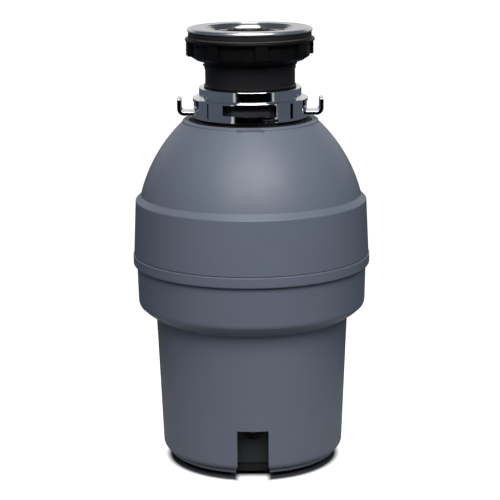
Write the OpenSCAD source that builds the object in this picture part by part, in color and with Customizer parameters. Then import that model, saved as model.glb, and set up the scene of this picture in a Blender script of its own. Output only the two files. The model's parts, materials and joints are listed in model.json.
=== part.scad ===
// Kitchen garbage disposal: continuous feed, hung under the sink by a twist-lock ring.
// Millimetres, +Z up, the front is -Y.
// The origin is the centre of the base, on the surface that the disposal stands on.

/* [Sound shell] */
// Wall thickness of the two shells
wall = 3; // [2.6:0.1:3.2]
// Radius of the bead where the upper shell overlaps the lower one
bead_r = 110.2; // [109.8:0.1:112]
// Radius of the lower body just above its rounded foot
body_low_r = 84.8; // [84.2:0.1:85.4]
// Radius of the lower body where it meets the skirt
body_top_r = 90; // [89.4:0.1:90.6]
// Radius of the skirt under the bead
skirt_r = 107; // [106.6:0.1:107.4]
// Radius of the belt at its top edge
belt_top_r = 107.2; // [106.6:0.1:107.4]
// Height of the rim under the shell's foot
shell_low_z = 5; // [4.6:0.1:5.4]
// Height of the bead's lower edge
seam_z = 184.5; // [184.2:0.1:185]
// Radius of the dome's arc
dome_arc_r = 140.5; // [140:0.1:141]

/* [Front notch] */
// Width of the notch in the lower shell
notch_w = 28.6; // [26:0.2:30]
// Height of the notch's top edge
notch_top_z = 47.3; // [46:0.1:49]
// Distance from the axis to the panel behind the notch
panel_y = 70; // [69.6:0.1:70.4]
// Radius of the round window for the reset button
button_window_r = 10; // [9.4:0.1:10.6]
// Height of the reset button
button_z = 45; // [44:0.5:46]

/* [Sink mount] */
// Height of the top of the sink flange
top_z = 405; // [403:1:408]
// Radius of the sink flange's rim
flange_r = 57.2; // [56.4:0.1:57.8]
// Inner radius of the sink flange's sleeve
sleeve_bore_r = 37; // [36.8:0.1:37]
// Outer radius of the plain part of the threaded throat
throat_r = 41.2; // [41:0.1:41.4]
// Pitch of the throat's thread
thread_pitch = 3; // [2.8:0.1:3.2]
// Outer radius of the mounting nut's lip
nut_lip_r = 59.3; // [59:0.1:60]
// Number of grip lugs on the mounting nut
nut_lugs = 8; // [6:1:10]

/* [Lock ring] */
// Outer radius of the lock ring's skirt
ring_r = 52.8; // [52.6:0.1:53]
// Outer radius of the lock ring's collar
collar_r = 47; // [46.9:0.1:47.2]
// Distance from the axis to the outside of each hook
hook_reach = 67; // [66:0.5:69]
// Width of each hook
hook_w = 22; // [18:1:24]

/* [Grinding chamber] */
// Radius of the turntable
turntable_r = 74.4; // [73.8:0.1:74.4]
// Distance from the axis to each impeller's pin
impeller_pin_r = 50; // [48:0.5:51]
// Number of slots in the grind ring
grind_slots = 24; // [16:2:28]

/* [Motor] */
// Outer radius of the stator
stator_r = 70.4; // [69:0.1:70.4]
// Radius of the rotor
rotor_r = 38; // [37.5:0.1:38.2]
// Number of stator slots
stator_slots = 24; // [18:6:24]

/* [Ports] */
// Radius of the waste outlet's bore
drain_bore_r = 19; // [18.5:0.1:19.2]
// Height of the waste outlet
drain_z = 161; // [161:0.1:161.5]
// Half the distance between the waste outlet's two screws
drain_screw_x = 30; // [29.5:0.5:31]
// Outer radius of the dishwasher inlet
inlet_r = 11; // [10.8:0.1:11.1]
// Height of the dishwasher inlet
inlet_z = 270; // [268:0.5:272]
// Radius of the cable gland's hole
gland_hole_r = 5; // [4:0.1:5.5]
// Height of the cable gland
gland_z = 30; // [28:0.5:32]

/* [Hidden] */
$fn = 96;
far = 200;
slack = 0.05;

// Shell levels and radii
foot_round = 6;
foot_low_z = shell_low_z + 4;
foot_rim_r = 79;
skirt_round = 19;
skirt_low_z = 135;
bead_top_z = 196.5;
belt_low_r = bead_r - 0.8;
belt_round = 5.1;
belt_round_z = 248;
dome_cx = -33.9;
dome_cz = 216.85;
dome_top_z = 319.5;
mouth_r = 59.8;
mouth_round = 2.2;
overlap_z = seam_z + 5.5;
base_hole_r = 70;
base_screw_r = 72.7;
ground_screw_y = 62;
foam_t = 9;
foam_levels = [256, 272, 286, 298, 307];

// Sink mount levels
sheet = 1;
flange_depth = 3;
bowl_round = 5;
edge_round = 2;
gasket_low_z = top_z - 7.8;
gasket_inset = 0.7;
nut_top_z = top_z - 9;
nut_low_z = top_z - 29;
thread_low_z = top_z - 38;
thread_root_r = throat_r + 0.7;
thread_crest_r = throat_r + 2;
ledge_z = 352;
throat_low_z = 336;
neck_top_z = 334;
neck_r = 44;
neck_bore_r = 38;

// Lock ring levels
ring_low_z = 323.5;
shoulder_z = 341.5;
ring_top_z = 351;
ring_sheet = 1.7;
ramp_tilt = 2;

// Dishwasher inlet
inlet_seat_y = 77;
inlet_end_y = 108.5;
inlet_hose_length = 9.5;
inlet_neck_r = inlet_r - 0.4;

// Grinding chamber levels
chamber_floor_z = 205;
chamber_r = 79;
hopper_wall = 3;
hopper_round_z = 258;
hopper_round = 30;
hopper_flange_r = 90;
hopper_screw_r = 86;
plate_z = 207.5;
plate_t = 2.5;
impeller_z = plate_z + plate_t + 0.4;
pin_r = 3;

// Motor levels
motor_low_z = 67;
stator_low_z = 77;
stator_high_z = 119;
motor_high_z = 131;
drain_low_z = 136;
journal_low_r = 6;
journal_top_r = 7.5;
core_shaft_r = 9;
tie_bolt_r = 65.5;

// ---------- Shared shapes ----------

// A ring of rectangular section about the axis
module band(r_in, r_out, z_low, z_high) {
    rotate_extrude() translate([r_in, z_low]) square([r_out - r_in, z_high - z_low]);
}

// The same, for part of a turn centred on the given direction
module band_arc(r_in, r_out, z_low, z_high, middle, span) {
    rotate(middle - span / 2) rotate_extrude(angle = span)
        translate([r_in, z_low]) square([r_out - r_in, z_high - z_low]);
}

// A quarter of a round strip, in quadrant 0 to 3
module arc_strip(centre, radius, thickness, quadrant) {
    translate(centre) intersection() {
        difference() {
            circle(r = radius);
            circle(r = radius - thickness);
        }
        rotate(90 * quadrant) square(radius);
    }
}

// A rod along +Y
module rod_y(x, y_low, y_high, z, r) {
    translate([x, y_low, z]) rotate([-90, 0, 0]) cylinder(r = r, h = y_high - y_low);
}

// Copies spaced evenly round the axis
module around(count, start = 0) {
    for (i = [0 : count - 1]) rotate(start + i * 360 / count) children();
}

// ---------- Sound shell ----------

// Half section of the upper shell's outside, drawn in by inset for its inside
module upper_section(inset) {
    intersection() {
        translate([dome_cx, dome_cz]) circle(r = dome_arc_r - inset);
        translate([0, seam_z]) square([bead_r, dome_top_z - inset - seam_z]);
    }
    polygon([[0, seam_z], [belt_low_r - inset, seam_z],
        [belt_top_r - inset, belt_round_z], [0, belt_round_z]]);
    translate([belt_top_r - belt_round, belt_round_z]) circle(r = belt_round - inset);
}

module upper_shell() {
    color([0.36, 0.38, 0.43]) difference() {
        union() {
            rotate_extrude() difference() {
                union() {
                    upper_section(0);
                    translate([bead_r - 4, seam_z]) square([2.6, 4]);
                    translate([bead_r - 4, seam_z + 1.4]) square([4, bead_top_z - seam_z - 1.8]);
                    translate([bead_r - 1.4, seam_z + 1.4]) circle(r = 1.4);
                    translate([mouth_r + 0.8, dome_top_z - 0.4]) circle(r = mouth_round);
                }
                upper_section(wall);
                translate([0, seam_z - 1]) square([skirt_r + 0.5, overlap_z - seam_z + 1.5]);
                translate([0, seam_z]) square([mouth_r, far]);
            }
            // Locating tab on the mouth's front edge
            translate([-12, -mouth_r - 3.4, dome_top_z - 3.4]) cube([24, 3, 5.2]);
        }
        rod_y(0, 60, far, inlet_z, inlet_r + 3.2);
    }
}

// Half section of the lower shell's outside, drawn in by inset for its inside
module lower_section(inset) {
    low_z = foot_low_z + foot_round;
    body_slope = (body_top_r - body_low_r) / (skirt_low_z - low_z);
    polygon([[0, low_z], [body_low_r - inset, low_z],
        [body_top_r - inset + body_slope * inset, skirt_low_z + inset + 0.2],
        [0, skirt_low_z + inset + 0.2]]);
    translate([0, foot_low_z + inset])
        square([body_low_r - foot_round, foot_round - inset + 0.1]);
    intersection() {
        translate([body_low_r - foot_round, low_z]) circle(r = foot_round - inset);
        square([body_low_r, low_z]);
    }
    intersection() {
        translate([skirt_r - 1 - skirt_round, skirt_low_z + skirt_round])
            circle(r = skirt_round - inset);
        square([skirt_r, skirt_low_z + skirt_round]);
    }
    translate([0, skirt_low_z + inset]) square([skirt_r - 1 - skirt_round, skirt_round - inset]);
    polygon([[0, skirt_low_z + skirt_round], [skirt_r - 1 - inset, skirt_low_z + skirt_round],
        [skirt_r - inset, overlap_z], [0, overlap_z]]);
}

// Front opening of the notch, seen along Y
module notch_outline(grow) {
    half = notch_w / 2 + grow;
    polygon([[-half, notch_top_z + grow], [half, notch_top_z + grow], [half, foot_low_z + 3],
        [half + 1.6, foot_low_z], [half + 1.6, -1],
        [-half - 1.6, -1], [-half - 1.6, foot_low_z], [-half, foot_low_z + 3]]);
}

module along_y(y_low, y_high) {
    translate([0, y_high, 0]) rotate([90, 0, 0]) linear_extrude(y_high - y_low) children();
}

module lower_shell() {
    color([0.36, 0.38, 0.43]) difference() {
        union() {
            rotate_extrude() difference() {
                union() {
                    lower_section(0);
                    translate([foot_rim_r - wall, shell_low_z]) square([wall, wall + 3]);
                }
                lower_section(wall);
                translate([0, -1]) square([base_hole_r, foot_low_z + wall + 2]);
                translate([0, overlap_z - wall]) square([skirt_r - wall, far]);
            }
            // Side and top returns of the notch
            intersection() {
                along_y(-body_top_r, -panel_y - 0.2) difference() {
                    translate([-notch_w / 2 - 2, shell_low_z])
                        square([notch_w + 4, notch_top_z - shell_low_z + 14]);
                    translate([-notch_w / 2, 0]) square([notch_w, notch_top_z + 12]);
                }
                rotate_extrude() lower_section(wall / 2);
            }
        }
        along_y(-far, -panel_y - 0.1) notch_outline(0);
        // Waste outlet and its two screw ears
        rod_y(0, 60, far, drain_z, drain_bore_r + 4);
        for (side = [-1, 1]) rod_y(side * drain_screw_x, 60, far, drain_z, 9);
        translate([-drain_screw_x, 60, drain_z - 9]) cube([2 * drain_screw_x, 80, 18]);
        rod_y(0, 60, far, gland_z, 8.2);
        around(4, 45) translate([base_screw_r, 0, 0]) cylinder(r = 1.55, h = foot_low_z + wall + 1);
    }
}

module base_plate() {
    plug_low_z = shell_low_z - 1;
    color([0.07, 0.07, 0.08]) difference() {
        union() {
            rotate_extrude() {
                translate([0, plug_low_z]) square([base_hole_r - 0.5, wall]);
                translate([base_hole_r - 3.5, plug_low_z + wall]) square([3, 4]);
                translate([40, 0]) square([14, plug_low_z + 1]);
            }
            // Flange under the shell's foot, open at the notch
            band_arc(base_hole_r - 1.5, base_screw_r + 2, foot_low_z - 1.4, foot_low_z, 90, 330);
        }
        around(4, 45) translate([base_screw_r, 0, -1]) cylinder(r = 1.6, h = 13);
        translate([0, ground_screw_y, -1]) cylinder(r = 2.1, h = 12);
    }
}

module base_screws() {
    head_low_z = foot_low_z - 2.8;
    color("silver") around(4, 45) translate([base_screw_r, 0, 0]) {
        translate([0, 0, head_low_z]) cylinder(r = 3, h = 1.4);
        translate([0, 0, head_low_z + 1]) cylinder(r = 1.5, h = 4.5);
    }
}

// Radius of the foam's outside at a height, 1 mm inside the dome
function foam_r(z) = dome_cx + sqrt(pow(dome_arc_r - wall - 1, 2) - pow(z - dome_cz, 2));

module upper_insulation() {
    color([0.2, 0.2, 0.21]) difference() {
        rotate_extrude() polygon(concat(
            [for (z = foam_levels) [foam_r(z), z]],
            [for (i = [len(foam_levels) - 1 : -1 : 0]) [foam_r(foam_levels[i]) - foam_t, foam_levels[i]]]));
        rod_y(0, 40, far, inlet_z, inlet_r + 5.5);
    }
}

module lower_insulation() {
    color([0.24, 0.24, 0.25]) band(76.5, 82, motor_low_z, motor_high_z);
}

// ---------- Front notch and electrical compartment ----------

module service_panel() {
    low_z = foot_low_z + wall + slack;
    color([0.24, 0.25, 0.27]) difference() {
        translate([-notch_w / 2 - 2, -panel_y, low_z])
            cube([notch_w + 4, 2.4, notch_top_z + 12.7 - low_z]);
        rod_y(0, -panel_y - 1, -panel_y + 4, button_z, button_window_r);
    }
}

module button_bezel() {
    color([0.05, 0.05, 0.05]) translate([0, -panel_y + 0.8, button_z]) rotate([-90, 0, 0])
        rotate_extrude() {
            translate([6.4, 0]) square([button_window_r - 0.1 - 6.4, 2.2]);
            translate([6.4, 0]) square([1.6, 9]);
        }
}

module reset_button() {
    color([0.16, 0.16, 0.17]) translate([0, -panel_y - 0.6, button_z]) rotate([-90, 0, 0])
        rotate_extrude() {
            translate([0, 3]) square([6.1, 8]);
            intersection() {
                translate([0, 7.7]) circle(r = 7.7);
                square([6.1, 3.2]);
            }
        }
}

module overload_protector() {
    color([0.12, 0.12, 0.13]) {
        difference() {
            translate([-13, -panel_y + 11, button_z - 11]) cube([26, 14, 23]);
            rod_y(0, -panel_y, -panel_y + 15, button_z, 6.6);
        }
        for (side = [-1, 1])
            translate([side * 6 - 3, -panel_y + 25, button_z - 4]) cube([6, 7, 0.8]);
    }
}

module start_capacitor() {
    color([0.08, 0.08, 0.09]) {
        rod_y(-46, -32, 30, 30, 16);
        for (side = [-1, 1])
            translate([-46 + side * 6 - 3, 30, 29.6]) cube([6, 7, 0.8]);
    }
}

module start_switch() {
    color([0.45, 0.3, 0.15]) difference() {
        union() {
            translate([0, 0, 40]) cylinder(r = 28, h = 3);
            translate([14, -8, 30]) cube([12, 16, 11]);
            around(3, 60) translate([24, 0, 43]) cylinder(r = 3, h = 19);
        }
        translate([0, 0, 30]) cylinder(r = 8, h = 14);
    }
}

module terminal_box() {
    low_z = foot_low_z + wall + slack;
    color([0.1, 0.1, 0.11]) difference() {
        translate([-24, 36, low_z]) cube([48, 34, 44 - low_z]);
        translate([-22, 38, low_z + 2]) cube([44, 30, 44]);
        rod_y(0, 60, 75, gland_z, 8.2);
    }
}

module terminal_lid() {
    color([0.1, 0.1, 0.11]) {
        translate([-24, 36, 44]) cube([48, 34, 2]);
        translate([-21.8, 38.2, 41]) cube([43.6, 29.6, 3]);
    }
}

module ground_screw() {
    color([0.1, 0.45, 0.2]) {
        translate([0, ground_screw_y, shell_low_z - 2.7]) cylinder(r = 4, h = 1.6);
        translate([0, ground_screw_y, shell_low_z - 1.3]) cylinder(r = 2, h = 7.3);
    }
}

module cable_gland() {
    color([0.06, 0.06, 0.06]) difference() {
        union() {
            rod_y(0, 66, 87, gland_z, 8);
            rod_y(0, 86, 89, gland_z, 11);
            rod_y(0, 64, 67.8, gland_z, 8);
        }
        rod_y(0, 60, 92, gland_z, gland_hole_r);
    }
}

// ---------- Sink mount ----------

module sink_flange() {
    color([0.82, 0.82, 0.82]) rotate_extrude() {
        bend_x = sleeve_bore_r + bowl_round;
        rim_x = flange_r - edge_round;
        translate([bend_x, top_z - sheet]) square([rim_x - bend_x, sheet]);
        arc_strip([rim_x, top_z - edge_round], edge_round, sheet, 0);
        translate([flange_r - sheet, top_z - flange_depth])
            square([sheet, flange_depth - edge_round]);
        arc_strip([bend_x, top_z - bowl_round], bowl_round, sheet, 1);
        translate([sleeve_bore_r, ledge_z]) square([sheet, top_z - bowl_round - ledge_z]);
    }
}

module flange_gasket() {
    color([0.1, 0.1, 0.1]) rotate_extrude() {
        translate([thread_crest_r + 0.5, gasket_low_z])
            square([flange_r - gasket_inset - thread_crest_r - 0.5, top_z - flange_depth - gasket_low_z]);
        translate([thread_crest_r + 0.5, gasket_low_z])
            square([flange_r - edge_round - thread_crest_r - 0.5, top_z - sheet - gasket_low_z]);
    }
}

module nut_washer() {
    color([0.14, 0.14, 0.14]) band(thread_crest_r + 1.5, flange_r - 1, nut_top_z, gasket_low_z);
}

module mount_nut() {
    lug_low_z = nut_low_z + 4;
    lip_low_z = nut_top_z - 3;
    color([0.08, 0.08, 0.085]) difference() {
        union() {
            rotate_extrude() {
                bore_r = thread_crest_r + 0.4;
                polygon([[bore_r, nut_low_z], [50, nut_low_z], [54.8, nut_low_z + 3.5],
                    [54.8, nut_top_z], [bore_r, nut_top_z]]);
                translate([54, lip_low_z]) square([nut_lip_r - 55.4, 3]);
                translate([nut_lip_r - 1.5, lip_low_z + 1.5]) circle(r = 1.5);
            }
            around(nut_lugs, -35)
                translate([52, -5.5, lug_low_z]) cube([6.2, 11, lip_low_z - lug_low_z + 0.1]);
        }
        // Small moulding pockets between the lugs
        around(nut_lugs, -35 + 180 / nut_lugs)
            translate([53.6, -4, nut_top_z - 7]) cube([3, 8, 2.2]);
    }
}

module mount_throat() {
    color([0.1, 0.1, 0.105]) rotate_extrude() {
        bore_r = sleeve_bore_r + sheet + slack;
        translate([bore_r, throat_low_z]) square([throat_r - bore_r, thread_low_z - throat_low_z]);
        polygon([[bore_r, thread_low_z], [throat_r, thread_low_z],
            [thread_root_r, thread_low_z + 2], [thread_root_r, top_z - flange_depth],
            [bore_r + 0.8, top_z - flange_depth], [bore_r, top_z - flange_depth - 2.2]]);
        for (z = [thread_low_z + 3.2 : thread_pitch : top_z - flange_depth - 2])
            polygon([[thread_root_r - 1, z - 1.2], [thread_root_r, z - 1.2],
                [thread_crest_r, z - 0.3], [thread_crest_r, z + 0.3],
                [thread_root_r, z + 1.2], [thread_root_r - 1, z + 1.2]]);
        // Lip just above the lock ring, and the bead that carries the ring
        translate([throat_r - 1, ledge_z]) square([2.1, 1.4]);
        translate([throat_r - 1, ring_top_z - 6]) square([collar_r - ring_sheet - throat_r + 0.5, 4]);
        // Inner ledge under the sleeve, and the foot that presses on the seal
        translate([sleeve_bore_r - 2, ring_top_z - 6]) square([bore_r - sleeve_bore_r + 3, 7]);
        translate([bore_r, throat_low_z]) square([46.5 - bore_r, 3.5]);
    }
}

module splash_guard() {
    guard_r = sleeve_bore_r - 0.4;
    color([0.07, 0.07, 0.07]) difference() {
        union() {
            band(guard_r - 3, guard_r, ledge_z, ledge_z + 14);
            band(9, guard_r - 2, ledge_z + 2, ledge_z + 4);
        }
        around(8) translate([6, -0.7, ledge_z - 1]) cube([22, 1.4, 8]);
    }
}

// One hook, seen along Y: out, round and up
module hook_section() {
    strip = 3.6;
    bend = 6.6;
    low_z = ring_low_z + 1.9;
    translate([ring_r - 1.4, low_z]) square([hook_reach - bend - ring_r + 1.4, strip]);
    arc_strip([hook_reach - bend, low_z + bend], bend, strip, 3);
    translate([hook_reach - strip, low_z + bend]) square([strip, 7]);
    translate([hook_reach - strip / 2, low_z + bend + 7]) circle(r = strip / 2);
}

// Openings in one half of the lock ring, for the half that faces -Y
module ring_cuts() {
    along_y(-60, -43) {
        polygon([[-24.8, ring_low_z + 7.1], [23.4, ring_low_z + 5.3],
            [23.4, shoulder_z - 1.8], [-24.8, shoulder_z - 1.8]]);
        translate([11.5, ring_low_z + 1.2]) square([13.3, 2.6]);
    }
    for (slit = [[-46.5, 2], [44.7, 4]])
        band_arc(ring_r - 4, ring_r + 1, ring_low_z + 2.6, shoulder_z - ring_sheet + 0.2,
            -90 + slit[0], slit[1]);
}

module lock_ring() {
    color([0.78, 0.79, 0.8]) difference() {
        union() {
            rotate_extrude() {
                translate([ring_r - ring_sheet, ring_low_z])
                    square([ring_sheet, shoulder_z - 1 - ring_low_z]);
                translate([collar_r - ring_sheet, shoulder_z - ring_sheet])
                    square([ring_r - 1 - collar_r + ring_sheet, ring_sheet]);
                translate([ring_r - 1, shoulder_z - 1]) circle(r = 1);
                translate([collar_r - ring_sheet, shoulder_z - ring_sheet])
                    square([ring_sheet, ring_top_z - 1 - shoulder_z + ring_sheet]);
                translate([throat_r + 1.3, ring_top_z - ring_sheet])
                    square([collar_r - 1 - throat_r - 1.3, ring_sheet]);
                translate([collar_r - 1, ring_top_z - 1]) circle(r = 1);
            }
            for (side = [0, 180]) rotate(side) {
                along_y(-hook_w / 2, hook_w / 2) hook_section();
                // Ramp that draws up under the hopper's lug
                translate([0, 0, ring_low_z + 4.5]) rotate([0, ramp_tilt, 0])
                    band_arc(46.2, ring_r - 0.8, -0.9, 0.9, -90, 44);
            }
        }
        for (side = [0, 180]) rotate(side) {
            ring_cuts();
            // Gap left in the skirt where the hook is bent out of it
            translate([ring_r - 4, -hook_w / 2, ring_low_z + 7]) cube([6, hook_w, 8]);
        }
    }
}

module mount_seal() {
    color([0.09, 0.09, 0.09]) band(neck_bore_r + 0.5, 46, neck_top_z, throat_low_z);
}

module neck_cushion() {
    color([0.06, 0.06, 0.06]) rotate_extrude() {
        translate([neck_r + 0.2, 315]) square([mouth_r - 0.4 - neck_r - 0.2, 6]);
        translate([neck_r + 0.2, 315]) square([mouth_r - 2.2 - neck_r - 0.2, 7.8]);
        translate([mouth_r - 2.2, 321]) circle(r = 1.8);
    }
}

// ---------- Grinding chamber ----------

// Half section of the hopper, drawn in by inset for its inside
module hopper_section(inset) {
    shoulder_x = chamber_r + hopper_wall - hopper_round;
    translate([0, chamber_floor_z + 2])
        square([chamber_r + hopper_wall - inset, hopper_round_z - chamber_floor_z - 2]);
    intersection() {
        translate([shoulder_x, hopper_round_z]) circle(r = hopper_round - inset);
        translate([0, hopper_round_z - 1]) square([far, hopper_round + 1]);
    }
    translate([0, hopper_round_z - 1]) square([shoulder_x, hopper_round - inset + 1]);
}

module hopper() {
    color([0.3, 0.3, 0.32]) difference() {
        union() {
            rotate_extrude() {
                hopper_section(0);
                translate([0, hopper_round_z]) square([neck_r, neck_top_z - hopper_round_z]);
                translate([0, chamber_floor_z + 2]) square([hopper_flange_r, 4]);
            }
            for (side = [-90, 90])
                band_arc(neck_r - 1, 49.8, neck_top_z - 4, neck_top_z, side, 40);
            rod_y(0, 60, 84, inlet_z, 15);
        }
        rotate_extrude() {
            hopper_section(hopper_wall);
            translate([0, chamber_floor_z + 1]) square([chamber_r, 5]);
            translate([0, hopper_round_z]) square([neck_bore_r, far]);
        }
        rod_y(0, 40, 90, inlet_z, inlet_r - 2.8);
        rod_y(0, inlet_seat_y, 90, inlet_z, inlet_neck_r + slack);
        around(6, 30) translate([hopper_screw_r, 0, 200]) cylinder(r = 2.2, h = 14);
    }
}

module dishwasher_inlet() {
    color([0.08, 0.08, 0.08]) difference() {
        union() {
            rod_y(0, inlet_seat_y, inlet_end_y - 1, inlet_z, inlet_neck_r);
            rod_y(0, inlet_end_y - inlet_hose_length, inlet_end_y, inlet_z, inlet_r);
        }
        rod_y(0, inlet_seat_y - 1, inlet_end_y + 1, inlet_z, inlet_r - 3);
    }
}

module inlet_plug() {
    color([0.15, 0.15, 0.16]) rod_y(0, inlet_seat_y + 2, inlet_seat_y + 5, inlet_z, inlet_r - 3 - slack);
}

module inlet_grommet() {
    color([0.05, 0.05, 0.05]) difference() {
        rod_y(0, 86, inlet_end_y - inlet_hose_length - 0.3, inlet_z, inlet_r + 3.1);
        rod_y(0, 85, 104, inlet_z, inlet_neck_r + slack);
    }
}

module hopper_gasket() {
    color([0.08, 0.08, 0.08]) difference() {
        band(chamber_r + 1.2, hopper_flange_r - 0.5, chamber_floor_z, chamber_floor_z + 2);
        around(6, 30) translate([hopper_screw_r, 0, 200]) cylinder(r = 2.2, h = 14);
    }
}

module hopper_screws() {
    color("silver") around(6, 30) translate([hopper_screw_r, 0, 0]) {
        translate([0, 0, 197]) cylinder(r = 2, h = 15);
        translate([0, 0, 211]) cylinder(r = 3.6, h = 3);
    }
}

module grind_ring() {
    color([0.75, 0.75, 0.76]) difference() {
        band(turntable_r + 1, chamber_r - 0.4, chamber_floor_z, chamber_floor_z + 33);
        around(grind_slots) translate([turntable_r - 1, -2, plate_z - 0.5]) cube([6, 4, 10]);
        around(grind_slots, 180 / grind_slots)
            translate([turntable_r - 1, -1.2, plate_z + 14]) cube([3, 2.4, 14]);
    }
}

module turntable() {
    color([0.72, 0.72, 0.73]) difference() {
        union() {
            band(core_shaft_r - 2, turntable_r, plate_z, plate_z + plate_t);
            band(journal_top_r + 0.02, 15, plate_z - 9, plate_z + 4.5);
        }
        translate([0, 0, plate_z - 1]) cylinder(r = journal_top_r + 0.02, h = 8);
        around(2) translate([impeller_pin_r, 0, plate_z - 1]) cylinder(r = pin_r + 0.02, h = 5);
        around(6, 30) translate([62, 0, plate_z - 1]) cylinder(r = 2.5, h = 5);
        around(6) translate([32, 0, plate_z - 1]) cylinder(r = 2.5, h = 5);
        around(12, 15) translate([turntable_r - 2, -2.5, plate_z - 1]) cube([4, 5, 5]);
    }
}

// One swivelling impeller on the pin at +X
module impeller(colour) {
    color(colour) translate([impeller_pin_r, 0, impeller_z]) difference() {
        union() {
            cylinder(r = 7.5, h = 10);
            translate([0, -6, 0]) cube([19, 12, 4]);
            translate([13, -6, 0]) cube([6, 12, 15]);
        }
        translate([0, 0, -1]) cylinder(r = pin_r + 0.06, h = 12);
    }
}

module impeller_a() {
    impeller([0.68, 0.68, 0.7]);
}

module impeller_b() {
    rotate(180) impeller([0.68, 0.68, 0.7]);
}

module impeller_pins() {
    color([0.6, 0.6, 0.62]) around(2) translate([impeller_pin_r, 0, 0]) {
        translate([0, 0, plate_z - 2]) cylinder(r = 5, h = 2);
        translate([0, 0, plate_z - 1]) cylinder(r = pin_r, h = impeller_z + 12 - plate_z);
        translate([0, 0, impeller_z + 10.3]) cylinder(r = 5.5, h = 2);
    }
}

module turntable_washer() {
    color("silver") band(6.05, 13, plate_z + 4.5, plate_z + 6.5);
}

module turntable_nut() {
    color("silver") difference() {
        translate([0, 0, plate_z + 6.5]) cylinder(r = 10.4, h = 7, $fn = 6);
        translate([0, 0, plate_z + 6]) cylinder(r = 6.05, h = 8);
    }
}

module drain_housing() {
    inner_r = chamber_r - 3;
    boss_r = 21;
    color([0.33, 0.34, 0.36]) difference() {
        union() {
            rotate_extrude() difference() {
                union() {
                    translate([16.05, drain_low_z]) square([chamber_r + 1 - 16.05, 69]);
                    translate([60, chamber_floor_z - 5]) square([hopper_flange_r - 60, 5]);
                }
                translate([boss_r, drain_low_z + 5]) square([inner_r - boss_r, far]);
                translate([0, drain_low_z + 32]) square([boss_r + 1, far]);
            }
            difference() {
                union() {
                    rod_y(0, 70, 106, drain_z, drain_bore_r + 2.8);
                    for (side = [-1, 1]) rod_y(side * drain_screw_x, 76, 104, drain_z, 7);
                    translate([-drain_screw_x, 70, drain_z - 4]) cube([2 * drain_screw_x, 30, 8]);
                }
                cylinder(r = inner_r + 1, h = far + 50);
            }
        }
        rod_y(0, 60, 110, drain_z, drain_bore_r);
        for (side = [-1, 1]) rod_y(side * drain_screw_x, 90, 106, drain_z, 2.1);
        around(6, 30) translate([hopper_screw_r, 0, 195]) cylinder(r = 2.05, h = 14);
    }
}

module shaft_seal() {
    color([0.1, 0.1, 0.1]) rotate_extrude() {
        translate([journal_top_r + 0.06, drain_low_z + 14]) square([15.9 - journal_top_r - 0.06, 4]);
        translate([12, drain_low_z + 14]) square([3.9, 14]);
        translate([journal_top_r + 0.06, drain_low_z + 18]) square([1.6, 9]);
    }
}

// ---------- Motor ----------

module upper_end_frame() {
    color([0.6, 0.61, 0.62]) difference() {
        union() {
            band(13, 76, motor_high_z, drain_low_z);
            band(13, 15.8, motor_high_z - 7, drain_low_z + 12);
        }
        cylinder(r = 13, h = far);
        around(4, 45) translate([tie_bolt_r, 0, 120]) cylinder(r = 2.6, h = 30);
    }
}

module upper_bearing() {
    color([0.65, 0.45, 0.2]) band(journal_top_r + 0.05, 12.97, motor_high_z - 6, drain_low_z + 11);
}

module motor_can() {
    color([0.5, 0.5, 0.52]) band(stator_r + 0.2, stator_r + 2.2, motor_low_z, motor_high_z);
}

module stator_core() {
    color([0.42, 0.42, 0.45]) difference() {
        band(rotor_r + 0.6, stator_r, stator_low_z, stator_high_z);
        around(stator_slots)
            translate([rotor_r + 3, -2, stator_low_z - 1]) cube([14, 4, 50]);
        around(stator_slots)
            translate([rotor_r - 1, -0.9, stator_low_z - 1]) cube([6, 1.8, 50]);
        around(4, 45) translate([tie_bolt_r, 0, 60]) cylinder(r = 2.6, h = 80);
    }
}

// Winding heads above and below the stator, with the conductors in its slots
module stator_windings() {
    color([0.72, 0.38, 0.16]) {
        for (z = [motor_low_z + 1, stator_high_z]) rotate_extrude() {
            translate([45, z]) square([11, 9]);
            translate([42.5, z + 2.5]) square([16, 4]);
            for (x = [45, 56], dz = [2.5, 6.5]) translate([x, z + dz]) circle(r = 2.5);
        }
        around(stator_slots)
            translate([rotor_r + 5.2, -1.8, stator_low_z - 1]) cube([11.4, 3.6, 44]);
    }
}

module rotor_core() {
    color([0.5, 0.5, 0.52]) band(core_shaft_r + 0.02, rotor_r, stator_low_z, stator_high_z);
}

module rotor_end_rings() {
    color([0.75, 0.76, 0.77]) for (end = [0, 1]) {
        z = end == 0 ? stator_low_z - 6 : stator_high_z;
        band(24, rotor_r - 2, z, z + 6);
    }
}

module motor_shaft() {
    color([0.66, 0.66, 0.68]) rotate_extrude() {
        translate([0, 44]) square([journal_low_r, 190 - 44]);
        translate([0, 71]) square([core_shaft_r, motor_high_z - 8 - 71]);
        translate([0, 100]) square([journal_top_r, plate_z + 4.5 - 100]);
        translate([0, 180]) square([5.9, plate_z + 15 - 180]);
    }
}

module thrust_washers() {
    color([0.7, 0.55, 0.3]) {
        band(journal_low_r + 0.05, 11, 70, 71);
        band(journal_top_r + 0.05, 12, motor_high_z - 8, motor_high_z - 7);
    }
}

module lower_end_frame() {
    color([0.6, 0.61, 0.62]) difference() {
        union() {
            band(12, 74, 62, motor_low_z);
            band(12, 16, 56, 69);
        }
        cylinder(r = 12, h = far);
        around(4, 45) translate([tie_bolt_r, 0, 50]) cylinder(r = 2.6, h = 30);
    }
}

module lower_bearing() {
    color([0.65, 0.45, 0.2]) band(journal_low_r + 0.05, 11.97, 56.5, 69);
}

module governor_collar() {
    color([0.85, 0.85, 0.8]) rotate_extrude() {
        translate([journal_low_r + 0.08, 48]) square([5, 5]);
        translate([journal_low_r + 0.08, 50]) square([12, 2]);
    }
}

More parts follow.
